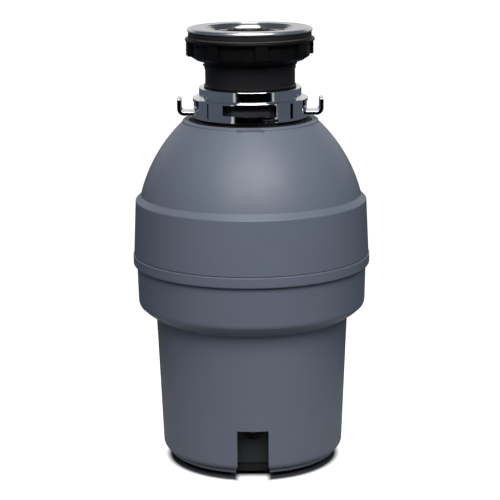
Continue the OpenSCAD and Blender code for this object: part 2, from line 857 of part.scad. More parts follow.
module tie_bolts() {
    color("silver") around(4, 45) translate([tie_bolt_r, 0, 0]) {
        translate([0, 0, 58]) cylinder(r = 4.5, h = 4, $fn = 6);
        translate([0, 0, 60]) cylinder(r = 2.4, h = drain_low_z - 60);
    }
}

sink_flange();
flange_gasket();
nut_washer();
mount_nut();
mount_throat();
splash_guard();
lock_ring();
mount_seal();
neck_cushion();
upper_shell();
lower_shell();
base_plate();
base_screws();
service_panel();
button_bezel();
reset_button();
overload_protector();
start_capacitor();
start_switch();
terminal_box();
terminal_lid();
ground_screw();
cable_gland();
upper_insulation();
lower_insulation();
hopper();
dishwasher_inlet();
inlet_plug();
inlet_grommet();
hopper_gasket();
hopper_screws();
grind_ring();
turntable();
impeller_a();
impeller_b();
impeller_pins();
turntable_washer();
turntable_nut();
drain_housing();
shaft_seal();
upper_end_frame();
upper_bearing();
motor_can();
stator_core();
stator_windings();
rotor_core();
rotor_end_rings();
motor_shaft();
thrust_washers();
lower_end_frame();
lower_bearing();
governor_collar();
tie_bolts();
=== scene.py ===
"""Kitchen garbage disposal: visible pieces, materials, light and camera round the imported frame."""

import json
import math

import bmesh
import bpy
from mathutils import Matrix, Vector


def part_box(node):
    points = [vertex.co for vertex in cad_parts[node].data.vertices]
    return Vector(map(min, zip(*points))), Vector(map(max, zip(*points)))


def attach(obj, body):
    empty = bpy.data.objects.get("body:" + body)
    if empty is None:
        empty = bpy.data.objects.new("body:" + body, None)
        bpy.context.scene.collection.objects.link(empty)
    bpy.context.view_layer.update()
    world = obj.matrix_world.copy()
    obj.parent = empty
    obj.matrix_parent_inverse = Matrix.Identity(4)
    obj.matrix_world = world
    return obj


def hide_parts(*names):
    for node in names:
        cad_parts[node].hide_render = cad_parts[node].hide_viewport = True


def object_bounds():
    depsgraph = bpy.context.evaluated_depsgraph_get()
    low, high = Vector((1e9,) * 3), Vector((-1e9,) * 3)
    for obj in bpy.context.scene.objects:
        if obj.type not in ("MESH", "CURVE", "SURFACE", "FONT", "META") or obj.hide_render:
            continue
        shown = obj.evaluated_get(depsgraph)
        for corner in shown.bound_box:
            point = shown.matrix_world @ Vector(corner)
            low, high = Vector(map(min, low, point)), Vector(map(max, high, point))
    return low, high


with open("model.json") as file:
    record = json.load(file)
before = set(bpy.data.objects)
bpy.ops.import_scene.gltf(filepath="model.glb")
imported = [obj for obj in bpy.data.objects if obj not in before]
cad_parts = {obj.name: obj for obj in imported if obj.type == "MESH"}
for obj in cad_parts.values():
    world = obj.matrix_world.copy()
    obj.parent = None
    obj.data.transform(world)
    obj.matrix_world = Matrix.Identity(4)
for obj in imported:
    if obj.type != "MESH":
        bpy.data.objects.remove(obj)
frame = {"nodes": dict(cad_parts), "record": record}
CAD_LOW, CAD_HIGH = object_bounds()

MM = 0.001
TURN = 2 * math.pi
SMOOTH_ANGLE = math.radians(32)
SEGMENTS = 192
SHELL_SEGMENTS = 256
PORT_SEGMENTS = 96
LOW, HIGH = 0, 1


# ---------- Sizes, in millimetres ----------


def edge(node, side, axis):
    """Where a node's CAD box ends; side is LOW or HIGH, axis is x, y or z."""
    return getattr(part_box(node)[side], axis) / MM


def middle_z(node):
    """Height of the middle of a node's CAD box."""
    return (edge(node, LOW, "z") + edge(node, HIGH, "z")) / 2


WALL = 3.0
TOP_Z = CAD_HIGH.z / MM
BEAD_R = CAD_HIGH.x / MM
SEAM_Z = edge("upper_shell", LOW, "z") + 2.2
FLANGE_R = edge("sink_flange", HIGH, "x")
NUT_LIP_R = edge("mount_nut", HIGH, "x")
NUT_LOW_Z = edge("mount_nut", LOW, "z")
NUT_TOP_Z = edge("mount_nut", HIGH, "z")
RING_LOW_Z = edge("lock_ring", LOW, "z")
RING_TOP_Z = edge("lock_ring", HIGH, "z")
HOOK_REACH = edge("lock_ring", HIGH, "x")
THROAT_LOW_Z = edge("mount_throat", LOW, "z")
SHELL_LOW_Z = edge("lower_shell", LOW, "z")
PANEL_Y = edge("service_panel", LOW, "y")
BUTTON_Z = middle_z("reset_button")
INLET_Z = middle_z("dishwasher_inlet")
GLAND_Z = middle_z("cable_gland")
DRAIN_Z = 161.0

# Dome, belt and bead. The dome is an arc about (DOME_CX, DOME_CZ) in the half section.
DOME_CX, DOME_CZ, DOME_R = -33.9, 216.85, 140.5
DOME_LOW_Z, DOME_TOP_Z = 252.6, 317.6
MOUTH_R = 59.8
LIP_R, LIP_Z = 56.6, 320.2
BELT_TOP_R = 107.2
BELT_ROUND, BELT_ROUND_Z = 2.2, 245.9
BEAD_TOP_Z = 196.5
# Where the upper shell laps over the lower one.
LAP_R, LAP_Z = 107.6, 190.0

# Skirt, body and foot. The skirt's underside is a shallow arc about (UNDER_CX, UNDER_CZ).
SKIRT_R = 107.0
SKIRT_ROUND, SKIRT_ROUND_Z = 8.0, 152.5
UNDER_CX, UNDER_CZ, UNDER_R = 77.7, 172.2, 36.0
BODY_LOW_R, BODY_TOP_R = 84.8, 90.0
FOOT_ROUND = 6.0
FOOT_LOW_Z = SHELL_LOW_Z + 4
RIM_R = 79.0
NOTCH_HALF = 14.3
NOTCH_TOP_Z = 47.3

# Where the cutters of the rear ports start.
REAR_Y = 60

# Sink mount.
BOWL_EDGE_R = 41.5
LUGS = 8
LUG_START = -35


def dome_angle(z, radius=DOME_R):
    """Angle on the dome's arc, in degrees, at a height."""
    return math.degrees(math.asin((z - DOME_CZ) / radius))


# ---------- Mesh helpers ----------


def polar(r, angle, z):
    """A point in metres, from a radius and height in millimetres and an angle in radians."""
    return (r * math.cos(angle) * MM, r * math.sin(angle) * MM, z * MM)


def arc(cx, cz, radius, start, end, steps=10):
    """Points on an arc about (cx, cz), from start to end degrees."""
    angles = [math.radians(start + (end - start) * i / steps) for i in range(steps + 1)]
    return [(cx + radius * math.cos(a), cz + radius * math.sin(a)) for a in angles]


def smooth_shade(mesh):
    """Shades the mesh smooth, but for its sharp edges."""
    for polygon in mesh.polygons:
        polygon.use_smooth = True
    mesh.set_sharp_from_angle(angle=SMOOTH_ANGLE)


def finish_mesh(name, bm):
    """Turns a bmesh into a linked object and uses it up."""
    bmesh.ops.recalc_face_normals(bm, faces=bm.faces)
    mesh = bpy.data.meshes.new(name)
    bm.to_mesh(mesh)
    bm.free()
    smooth_shade(mesh)
    piece = bpy.data.objects.new(name, mesh)
    bpy.context.scene.collection.objects.link(piece)
    return piece


def lathe(name, loop, segments=SEGMENTS, closed=True):
    """A closed half section in millimetres, (radius, height), turned about the Z axis."""
    bm = bmesh.new()
    rings = []
    for r, z in loop:
        if r < 1e-6:
            rings.append([bm.verts.new((0, 0, z * MM))])
            continue
        angles = [TURN * i / segments for i in range(segments)]
        rings.append([bm.verts.new(polar(r, a, z)) for a in angles])
    pairs = list(zip(rings, rings[1:]))
    if closed:
        pairs.append((rings[-1], rings[0]))
    for low, high in pairs:
        for i in range(segments):
            j = (i + 1) % segments
            corners = [low[i % len(low)], low[j % len(low)]]
            corners += [high[j % len(high)], high[i % len(high)]]
            corners = list(dict.fromkeys(corners))
            if len(corners) > 2:
                bm.faces.new(corners)
    return finish_mesh(name, bm)


def sweep(name, sections):
    """A bar through the sections, each an angle in radians and its (radius, height) corners."""
    bm = bmesh.new()
    last = None
    for angle, section in sections:
        ring = [bm.verts.new(polar(r, angle, z)) for r, z in section]
        if last:
            for i in range(len(ring)):
                j = (i + 1) % len(ring)
                bm.faces.new([last[i], last[j], ring[j], ring[i]])
        else:
            bm.faces.new(ring)
        last = ring
    bm.faces.new(last[::-1])
    return finish_mesh(name, bm)


def band_arc(name, r_in, r_out, z_low, z_high, start, end, steps=24):
    """Part of a turn of a rectangular band, from start to end degrees."""
    section = [(r_in, z_low), (r_out, z_low), (r_out, z_high), (r_in, z_high)]
    angles = [math.radians(start + (end - start) * i / steps) for i in range(steps + 1)]
    return sweep(name, [(angle, section) for angle in angles])


def prism_y(name, outline, y_low, y_high):
    """An outline in millimetres, (x, z), drawn out along Y."""
    bm = bmesh.new()
    front = [bm.verts.new((x * MM, y_low * MM, z * MM)) for x, z in outline]
    back = [bm.verts.new((x * MM, y_high * MM, z * MM)) for x, z in outline]
    bm.faces.new(front)
    bm.faces.new(back[::-1])
    for i in range(len(outline)):
        j = (i + 1) % len(outline)
        bm.faces.new([front[i], back[i], back[j], front[j]])
    return finish_mesh(name, bm)


def box_piece(name, low, high):
    """A box between two corners in millimetres."""
    (x0, y0, z0), (x1, y1, z1) = low, high
    return prism_y(name, [(x0, z0), (x1, z0), (x1, z1), (x0, z1)], y0, y1)


def rod(name, radius, length, segments=64):
    """A rod along +Z from the origin, in millimetres."""
    section = [(0, 0), (radius, 0), (radius, length), (0, length)]
    return lathe(name, section, segments, closed=False)


def shift(piece, x=0.0, y=0.0, z=0.0):
    """Moves the piece's mesh by millimetres."""
    piece.data.transform(Matrix.Translation((x * MM, y * MM, z * MM)))
    return piece


def along_y(piece, y, z, x=0.0):
    """Turns a piece that was made along +Z so that it runs along +Y from (x, y, z)."""
    piece.data.transform(Matrix.Rotation(-math.pi / 2, 4, "X"))
    return shift(piece, x, y, z)


def spin(piece, degrees):
    """Turns the piece's mesh about the Z axis."""
    piece.data.transform(Matrix.Rotation(math.radians(degrees), 4, "Z"))
    return piece


def bake(piece):
    """Applies the piece's modifiers to its mesh."""
    graph = bpy.context.evaluated_depsgraph_get()
    mesh = bpy.data.meshes.new_from_object(piece.evaluated_get(graph))
    piece.modifiers.clear()
    piece.data = mesh


def boolean(piece, others, operation):
    """Cuts or joins the other pieces, which are used up."""
    for other in others:
        step = piece.modifiers.new("step", "BOOLEAN")
        step.operation = operation
        step.solver = "EXACT"
        step.object = other
    bake(piece)
    smooth_shade(piece.data)
    for other in others:
        bpy.data.objects.remove(other)
    return piece


def cut(piece, *others):
    return boolean(piece, others, "DIFFERENCE")


def join(piece, *others):
    return boolean(piece, others, "UNION")


def soften(piece, width, angle=40, segments=2):
    """Rounds the sharp edges by width, in millimetres."""
    weld = piece.modifiers.new("weld", "WELD")
    weld.merge_threshold = 0.01 * MM
    bevel = piece.modifiers.new("bevel", "BEVEL")
    bevel.width = width * MM
    bevel.segments = segments
    bevel.limit_method = "ANGLE"
    bevel.angle_limit = math.radians(angle)
    bevel.miter_outer = "MITER_ARC"
    bake(piece)
    smooth_shade(piece.data)
    return piece


def merge(name, *others):
    """Joins pieces into one object without cutting them."""
    bm = bmesh.new()
    for other in others:
        bm.from_mesh(other.data)
        bpy.data.objects.remove(other)
    return finish_mesh(name, bm)


# ---------- Material helpers ----------


INPUT_NAMES = {
    "metallic": "Metallic",
    "specular": "Specular IOR Level",
    "coat": "Coat Weight",
    "coat_roughness": "Coat Roughness",
    "strength": "Emission Strength",
}


class Nodes:
    """A material's node tree, with short calls for what the materials share.

    Lengths and places in a material are in metres.
    """

    def __init__(self, name):
        self.material = bpy.data.materials.new(name)
        self.material.use_nodes = True
        self.tree = self.material.node_tree
        self.shader = self.tree.nodes["Principled BSDF"]
        self.place = self.tree.nodes.new("ShaderNodeTexCoord").outputs["Object"]

    def add(self, kind, **settings):
        node = self.tree.nodes.new(kind)
        for key, value in settings.items():
            setattr(node, key, value)
        return node

    def link(self, source, target):
        self.tree.links.new(source, target)

    def noise(self, scale, detail=3.0, roughness=0.5, stretch=(1, 1, 1), place=None):
        """Noise with scale in features per metre, at the object's own place or another."""
        mapping = self.add("ShaderNodeMapping")
        mapping.inputs["Scale"].default_value = stretch
        self.link(place or self.place, mapping.inputs["Vector"])
        node = self.add("ShaderNodeTexNoise")
        node.inputs["Scale"].default_value = scale
        node.inputs["Detail"].default_value = detail
        node.inputs["Roughness"].default_value = roughness
        self.link(mapping.outputs["Vector"], node.inputs["Vector"])
        return node.outputs["Fac"]

    def ramp(self, source, stops):
        """A colour ramp between two (position, colour) stops."""
        node = self.add("ShaderNodeValToRGB")
        for element, (position, colour) in zip(node.color_ramp.elements, stops):
            element.position = position
            element.color = (*colour, 1)
        self.link(source, node.inputs["Fac"])
        return node.outputs["Color"]

    def span(self, source, low, high, from_low=0.3, from_high=0.7):
        """Maps from_low..from_high to low..high. The middle of a noise is 0.3 to 0.7."""
        node = self.add("ShaderNodeMapRange")
        node.inputs["From Min"].default_value = from_low
        node.inputs["From Max"].default_value = from_high
        node.inputs["To Min"].default_value = low
        node.inputs["To Max"].default_value = high
        self.link(source, node.inputs["Value"])
        return node.outputs["Result"]

    def math(self, operation, first, second=None):
        """A sum on one or two values, each a number or a node's output."""
        node = self.add("ShaderNodeMath", operation=operation)
        for socket, value in zip(node.inputs, (first, second)):
            if value is None:
                continue
            if isinstance(value, (int, float)):
                socket.default_value = value
            else:
                self.link(value, socket)
        return node.outputs["Value"]

    def blend(self, factor, first, second):
        """Mixes two colours, each a tuple or a node's output."""
        node = self.add("ShaderNodeMix", data_type="RGBA")
        self.link(factor, node.inputs["Factor"])
        for socket, value in ((node.inputs["A"], first), (node.inputs["B"], second)):
            if isinstance(value, tuple):
                socket.default_value = (*value, 1)
            else:
                self.link(value, socket)
        return node.outputs["Result"]

    def axes(self):
        """The place's X, Y and Z."""
        split = self.add("ShaderNodeSeparateXYZ")
        self.link(self.place, split.inputs["Vector"])
        return split.outputs

    def radius(self):
        """Distance from the Z axis."""
        axes = self.axes()
        x2 = self.math("MULTIPLY", axes["X"], axes["X"])
        y2 = self.math("MULTIPLY", axes["Y"], axes["Y"])
        return self.math("SQRT", self.math("ADD", x2, y2))

    def height(self):
        return self.axes()["Z"]

    def bump(self, *layers):
        """Stacks (height source, depth, strength) bumps."""
        normal = None
        for source, depth, strength in layers:
            node = self.add("ShaderNodeBump")
            node.inputs["Distance"].default_value = depth
            node.inputs["Strength"].default_value = strength
            self.link(source, node.inputs["Height"])
            if normal is not None:
                self.link(normal, node.inputs["Normal"])
            normal = node.outputs["Normal"]
        self.link(normal, self.shader.inputs["Normal"])

    def set(self, **values):
        """Sets the shader's plain inputs, such as metallic=1.0."""
        for key, value in values.items():
            self.shader.inputs[INPUT_NAMES[key]].default_value = value

    def glow(self, colour):
        self.shader.inputs["Emission Color"].default_value = (*colour, 1)

    def colour(self, source):
        self.link(source, self.shader.inputs["Base Color"])

    def roughness(self, source):
        self.link(source, self.shader.inputs["Roughness"])


def tint(colour, factor):
    """The colour made darker or paler by a factor."""
    return tuple(min(1.0, c * factor) for c in colour)


def warm(colour, factor):
    """The colour scaled by a factor and turned a little towards yellow."""
    return (colour[0] * factor, colour[1] * factor * 0.97, colour[2] * factor * 0.93)


def moulded(name, colour, rough, grain, depth, wear, specular=0.5, below=None):
    """Moulded plastic: a faint mottle, a fine spark-eroded grain and soft flow marks.

    grain is in grains per metre and depth is theirs. wear is the share by which the mottle
    varies. below is a height and the factor by which the plastic is paler under it, so that
    the darker plastic above the height is painted shade.
    """
    n = Nodes(name)
    mottle = n.noise(14, detail=4, stretch=(1, 1, 0.6))
    skin = n.ramp(mottle, [(0.3, tint(colour, 1 - wear)), (0.7, tint(colour, 1 + wear))])
    # Above the height the plastic keeps its darkened colour as painted shade; below it, it is paler
    # by the factor.
    if below:
        (height, factor), fade = below, 0.003
        stops = [(0.3, tint(colour, factor * 0.95)), (0.7, tint(colour, factor * 1.05))]
        pale = n.ramp(mottle, stops)
        skin = n.blend(n.span(n.height(), 0, 1, height - fade, height + fade), pale, skin)
    n.colour(skin)
    n.roughness(n.span(n.noise(60, detail=5), *rough))
    flow, grains = n.noise(9, detail=2), n.noise(grain, detail=2, roughness=0.6)
    n.bump((flow, 0.0004, 0.1), (grains, depth, 0.55))
    n.set(specular=specular)
    return n.material


def rubber(name, colour, rough=(0.55, 0.72), specular=0.3):
    """Rubber or fibre sheet, dusty in patches."""
    n = Nodes(name)
    dust = n.noise(45, detail=6, roughness=0.65)
    n.colour(n.ramp(dust, [(0.35, tint(colour, 0.8)), (0.75, tint(colour, 1.45))]))
    n.roughness(n.span(dust, *rough))
    n.bump((n.noise(900, detail=3), 0.00006, 0.5))
    n.set(specular=specular)
    return n.material


def chrome(name, colour):
    """Bright plating over a pressed part: slightly uneven, with faint polishing lines."""
    n = Nodes(name)
    waves = n.noise(38, detail=2)
    lines = n.noise(700, detail=2, stretch=(1, 1, 6))
    n.colour(n.ramp(waves, [(0.3, tint(colour, 0.84)), (0.7, tint(colour, 0.92))]))
    n.roughness(n.span(n.noise(160, detail=5), 0.04, 0.11))
    n.bump((waves, 0.0011, 0.22), (lines, 0.00001, 0.12))
    n.set(metallic=1.0)
    return n.material


def turned_steel(name, colour, polish_radius):
    """Stainless with fine brushing round the rim and a polished bowl inside polish_radius; the
    bowl's darker, warmer tint is a painted reflection.
    """
    n = Nodes(name)
    radius = n.radius()
    place = n.add("ShaderNodeCombineXYZ")
    n.link(radius, place.inputs["X"])
    n.link(n.height(), place.inputs["Y"])
    fine = n.noise(6000, detail=3, roughness=0.7, place=place.outputs["Vector"])
    broad = n.noise(500, detail=2, place=place.outputs["Vector"])
    rim = n.span(radius, 0, 1, polish_radius - 0.0005, polish_radius + 0.0012)
    streaks = n.math("MULTIPLY", rim, n.span(fine, 0.4, 1.0))
    # In the bowl the factor is nought, so the bowl takes the darker, warmer colour as a painted
    # reflection; on the rim the fine noise gives brushing streaks.
    n.colour(n.blend(streaks, warm(colour, 0.68), tint(colour, 0.94)))
    brushed = n.math("ADD", n.span(fine, 0.2, 0.36), n.span(broad, -0.03, 0.03))
    on_rim = n.math("MULTIPLY", rim, brushed)
    in_bowl = n.math("MULTIPLY", n.math("SUBTRACT", 1.0, rim), n.span(n.noise(90), 0.13, 0.2))
    n.roughness(n.math("ADD", on_rim, in_bowl))
    n.bump((n.math("MULTIPLY", fine, rim), 0.000012, 0.5), (n.noise(30), 0.0002, 0.06))
    n.set(metallic=1.0)
    return n.material


def worked_metal(name, colour, rough, stretch=(1, 1, 14), grain=260):
    """Rolled, drawn or plated metal with a directional grain and darker patches."""
    n = Nodes(name)
    grains = n.noise(grain, detail=5, roughness=0.6, stretch=stretch)
    patches = n.noise(35, detail=4)
    n.colour(n.blend(n.span(patches, 0, 1), tint(colour, 0.82), tint(colour, 1.06)))
    n.roughness(n.math("ADD", n.span(grains, *rough), n.span(patches, -0.04, 0.06)))
    n.bump((grains, 0.00002, 0.5))
    n.set(metallic=1.0)
    return n.material


def cast_metal(name, colour):
    """Cast metal with a pitted skin."""
    n = Nodes(name)
    pits = n.noise(1100, detail=5, roughness=0.7)
    n.colour(n.ramp(n.noise(50, detail=5), [(0.3, tint(colour, 0.78)), (0.75, tint(colour, 1.05))]))
    n.roughness(n.span(pits, 0.4, 0.62))
    n.bump((n.noise(120, detail=3), 0.0002, 0.2), (pits, 0.00008, 0.5))
    n.set(metallic=1.0)
    return n.material


def laminated(name, colour, pitch=0.0005):
    """A stack of thin steel sheets, with a line at each sheet's edge."""
    n = Nodes(name)
    sheets = n.math("FRACT", n.math("DIVIDE", n.height(), pitch))
    line = n.span(sheets, 0, 1, 0.0, 0.25)
    n.colour(n.blend(line, tint(colour, 0.45), colour))
    n.roughness(n.span(n.noise(300, detail=4), 0.4, 0.6))
    n.bump((line, 0.00008, 0.6))
    n.set(metallic=0.9)
    return n.material


def wound_copper(name, colour, wire=0.0009):
    """Enamelled wire laid side by side round the axis."""
    n = Nodes(name)
    turns = n.math("SINE", n.math("MULTIPLY", n.math("ADD", n.radius(), n.height()), TURN / wire))
    lay = n.span(turns, 0, 1, -1, 1)
    patches = n.noise(90, detail=4)
    n.colour(n.blend(n.span(patches, 0, 1), tint(colour, 0.6), tint(colour, 1.15)))
    n.roughness(n.span(patches, 0.22, 0.4))
    n.bump((lay, 0.0003, 0.8))
    n.set(metallic=0.75, coat=0.6, coat_roughness=0.15)
    return n.material


def foam(name, colour):
    """Open-celled foam."""
    n = Nodes(name)
    voronoi = n.add("ShaderNodeTexVoronoi")
    voronoi.inputs["Scale"].default_value = 700
    n.link(n.place, voronoi.inputs["Vector"])
    cells = voronoi.outputs["Distance"]
    n.colour(n.ramp(cells, [(0.1, tint(colour, 1.3)), (0.7, tint(colour, 0.5))]))
    n.roughness(n.span(cells, 0.8, 0.95))
    n.bump((cells, 0.0006, 0.7))
    return n.material


def board(name, colour):
    """Pressed phenolic board with flecks."""
    n = Nodes(name)
    flecks = n.noise(420, detail=5, roughness=0.75)
    n.colour(n.ramp(flecks, [(0.35, tint(colour, 0.6)), (0.65, tint(colour, 1.3))]))
    n.roughness(n.span(flecks, 0.35, 0.55))
    n.bump((flecks, 0.00005, 0.4))
    return n.material


# For each material slot: its maker, the factor on the record's colour, and the maker's settings.
LOOKS = {
    "brushed_steel_flange": (turned_steel, 1, {"polish_radius": BOWL_EDGE_R * MM}),
    # The factor 0.45 darkens all black rubber as painted shade, for the neck cushion in the shadow
    # under the lock ring.
    "rubber_black": (rubber, 0.45, {"specular": 0.2}),
    "fibre_black": (rubber, 1, {"rough": (0.7, 0.85)}),
    # The factor 0.22 darkens the black plastic as painted shade, for the shaded mount nut; below the
    # nut's foot it is 3.6 times paler again.
    "black_plastic": (moulded, 0.22, {"rough": (0.36, 0.46), "grain": 1100, "depth": 0.00003,
                                      "wear": 0.12, "specular": 0.1,
                                      "below": (NUT_LOW_Z * MM, 3.6)}),
    "ring_chrome": (chrome, 1, {}),
    "shell_grey": (moulded, 1, {"rough": (0.42, 0.49), "grain": 2100, "depth": 0.00003,
                                "wear": 0.025, "specular": 0.42}),
    "zinc_steel": (worked_metal, 1, {"rough": (0.24, 0.4)}),
    # The factor 0.22 darkens all dark grey plastic as painted shade, for the service panel in the
    # shadow at the back of the notch.
    "dark_grey_plastic": (moulded, 0.22, {"rough": (0.45, 0.58), "grain": 900, "depth": 0.00006,
                                          "wear": 0.1, "specular": 0.2}),
    "button_plastic": (moulded, 1, {"rough": (0.2, 0.3), "grain": 600, "depth": 0.00001,
                                    "wear": 0.08}),
    "phenolic_brown": (board, 1, {}),
    "green_screw": (worked_metal, 1, {"rough": (0.25, 0.4)}),
    "foam_grey": (foam, 1, {}),
    "stainless": (worked_metal, 1, {"rough": (0.2, 0.36), "stretch": (6, 1, 1), "grain": 200}),
    "cast_aluminium": (cast_metal, 1, {}),
    "bronze": (cast_metal, 1, {}),
    "lamination_steel": (laminated, 1, {}),
    "copper_enamel": (wound_copper, 1, {}),
    "nylon_white": (moulded, 1, {"rough": (0.4, 0.55), "grain": 500, "depth": 0.00003,
                                 "wear": 0.04}),
}


def make_material(entry):
    """The material for an entry of the record's list."""
    maker, factor, settings = LOOKS[entry["slot"]]
    return maker(entry["slot"], tint(entry["base_color"][:3], factor), **settings)


MATERIALS = {entry["slot"]: make_material(entry) for entry in frame["record"]["materials"]}
SLOT_OF = {s["node"]: s["material_slot"] for s in frame["record"]["subparts"]}


def dress(piece, slot_name):
    """Gives the piece the material of a slot, in place of what it has."""
    piece.data.materials.clear()
    piece.data.materials.append(MATERIALS[slot_name])


for node_name, node in frame["nodes"].items():
    dress(node, SLOT_OF[node_name])


def place(piece, node, body="housing"):
    """The piece stands for a CAD node, in that node's material, and rides with its body."""
    even = piece.modifiers.new("even", "WEIGHTED_NORMAL")
    even.keep_sharp = True
    even.weight = 100
    bake(piece)
    dress(piece, SLOT_OF[node])
    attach(piece, body)
    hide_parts(node)
    return piece


# ---------- Shells ----------


def upper_shell():
    """Dome, belt and bead in one moulding, with the tab at the front of the mouth."""
    bead_low, bead_high, belt_low, lip = 1.4, 0.5, 0.35, 0.7
    belt_low_r = BEAD_R - 0.8
    groove_r = belt_low_r - 0.5
    cushion_z = 316.2
    inner_r = DOME_R - WALL
    outside = [(LAP_R, SEAM_Z)]
    outside += arc(BEAD_R - bead_low, SEAM_Z + bead_low, bead_low, -90, 0, 6)
    outside += arc(BEAD_R - bead_high, BEAD_TOP_Z - 0.9, bead_high, 0, 90, 4)
    outside += [(groove_r, BEAD_TOP_Z - 0.2), (groove_r, BEAD_TOP_Z + 0.5)]
    outside += arc(belt_low_r - belt_low, BEAD_TOP_Z + 0.95, belt_low, -90, 0, 3)
    outside += arc(BELT_TOP_R - BELT_ROUND, BELT_ROUND_Z, BELT_ROUND, 2, 45, 6)
    outside += [(102.3, 251.5), (102.1, 252)]
    outside += arc(DOME_CX, DOME_CZ, DOME_R, dome_angle(DOME_LOW_Z), dome_angle(DOME_TOP_Z), 40)
    outside += arc(MOUTH_R + 0.8, DOME_TOP_Z + 1.5, 2.2, -5, 95, 10)
    outside += arc(LIP_R + lip, LIP_Z, lip, 100, 180, 5)
    inside = [(LIP_R, 318.4), (MOUTH_R, 318), (MOUTH_R, cushion_z)]
    inside += arc(DOME_CX, DOME_CZ, inner_r, dome_angle(cushion_z, inner_r),
                  dome_angle(249, inner_r), 24)
    inside += [(BELT_TOP_R - WALL, BELT_ROUND_Z - 2)]
    inside += [(belt_low_r - WALL, LAP_Z + 1.2), (LAP_R, LAP_Z + 0.6)]
    shell = lathe("upper_shell_skin", outside + inside, SHELL_SEGMENTS)
    tab = box_piece("tab", (-12, -63.3, cushion_z + 0.2), (12, -60.4, 321.3))
    soften(tab, 0.5, segments=3)
    join(shell, tab)
    cut(shell, rear_hole("inlet_hole", 14.2, INLET_Z))
    return place(shell, "upper_shell")


def rear_hole(name, radius, z, x=0.0, length=60):
    """A rod that cuts a port through the back of a shell."""
    return along_y(rod(name, radius, length), REAR_Y, z, x)


def lower_profile():
    """Half section of the skirt, body, foot and standing rim."""
    foot_x, foot_z = BODY_LOW_R - FOOT_ROUND, FOOT_LOW_Z + FOOT_ROUND
    skirt_x = SKIRT_R - 1 - SKIRT_ROUND
    base_hole_r = 70.3
    outside = [(RIM_R - WALL, SHELL_LOW_Z), (RIM_R - 0.5, SHELL_LOW_Z)]
    outside += [(RIM_R, SHELL_LOW_Z + 0.5), (RIM_R, FOOT_LOW_Z - 0.9)]
    outside += [(RIM_R - 0.6, FOOT_LOW_Z - 0.6), (RIM_R - 0.6, FOOT_LOW_Z)]
    outside += arc(foot_x, foot_z, FOOT_ROUND, -86, 0, 12)
    outside += [(BODY_TOP_R - 0.3, 136.6), (BODY_TOP_R - 0.1, 137.8)]
    outside += arc(UNDER_CX, UNDER_CZ, UNDER_R, -69.4, -44, 10)
    outside += arc(skirt_x, SKIRT_ROUND_Z, SKIRT_ROUND, -32, 0, 6)
    outside += [(SKIRT_R - 0.1, SEAM_Z), (SKIRT_R, LAP_Z - 0.6), (SKIRT_R - 0.6, LAP_Z)]
    inside = [(SKIRT_R - WALL, LAP_Z)]
    inside += arc(skirt_x, SKIRT_ROUND_Z, SKIRT_ROUND - WALL, 0, -32, 4)
    inside += arc(UNDER_CX, UNDER_CZ, UNDER_R - WALL, -44, -70, 8)
    inside += [(BODY_TOP_R - WALL, 139.5), (BODY_LOW_R - WALL, foot_z)]
    inside += arc(foot_x, foot_z, FOOT_ROUND - WALL, 0, -90, 6)[1:]
    inside += [(base_hole_r, FOOT_LOW_Z + WALL), (base_hole_r, FOOT_LOW_Z)]
    inside += [(RIM_R - WALL, FOOT_LOW_Z)]
    return outside + inside


def notch_returns():
    """The thin walls that run back from the notch's sides, kept inside the body's skin."""
    wall, top = 2, 61
    front, back = -86.2, -70.2
    foot_x, foot_z = BODY_LOW_R - FOOT_ROUND, FOOT_LOW_Z + FOOT_ROUND
    returns = box_piece("returns", (-NOTCH_HALF - wall, front, FOOT_LOW_Z + 1.5),
                        (NOTCH_HALF + wall, back, top))
    cut(returns, box_piece("way", (-NOTCH_HALF, -95, 0), (NOTCH_HALF, -60, top - wall)))
    section = [(0, 2), (BODY_LOW_R - 4, 2)]
    section += arc(foot_x, foot_z, FOOT_ROUND - 1, -30, 0, 6)
    section += [(BODY_LOW_R + 0.6, top - 1), (0, top + 3)]
    return boolean(returns, [lathe("limit", section, 128, closed=False)], "INTERSECT")


def notch_cutters():
    """The notch's outline, flared at the foot, and the clear space under the service panel."""
    half, flare_r, front, below = NOTCH_HALF, 2.6, -100, -1
    flare = arc(half + flare_r, FOOT_LOW_Z + 3.2, flare_r, 180, 235, 6)
    outline = [(-half, NOTCH_TOP_Z), (half, NOTCH_TOP_Z)] + flare
    outline += [(half + 1.6, below), (-half - 1.6, below)] + [(-x, z) for x, z in flare[::-1]]
    under_panel = box_piece("under_panel", (-half, front, below),
                            (half, -66.4, FOOT_LOW_Z + WALL + 0.5))
    return prism_y("notch", outline, front, PANEL_Y - 0.1), under_panel


def lower_shell():
    """Skirt and tapered body, with the front notch and the ports at the rear."""
    shell = lathe("lower_shell_skin", lower_profile(), SHELL_SEGMENTS)
    join(shell, notch_returns())
    cut(shell, *notch_cutters())
    ear_x, link_half = 30, 9
    cut(shell,
        rear_hole("drain_hole", 23, DRAIN_Z),
        rear_hole("ear_hole", 9, DRAIN_Z, x=ear_x),
        rear_hole("ear_hole", 9, DRAIN_Z, x=-ear_x),
        box_piece("link_hole", (-ear_x, REAR_Y, DRAIN_Z - link_half),
                  (ear_x, REAR_Y + 60, DRAIN_Z + link_half)),
        rear_hole("gland_hole", 8.2, GLAND_Z, length=40))
    soften(shell, 0.45, angle=50)
    return place(shell, "lower_shell")


def service_panel():
    low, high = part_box("service_panel")
    panel = box_piece("service_panel_plate", tuple(low / MM), tuple(high / MM))
    cut(panel, along_y(rod("window", 10, 12), PANEL_Y - 4, BUTTON_Z))
    soften(panel, 0.35)
    return place(panel, "service_panel")


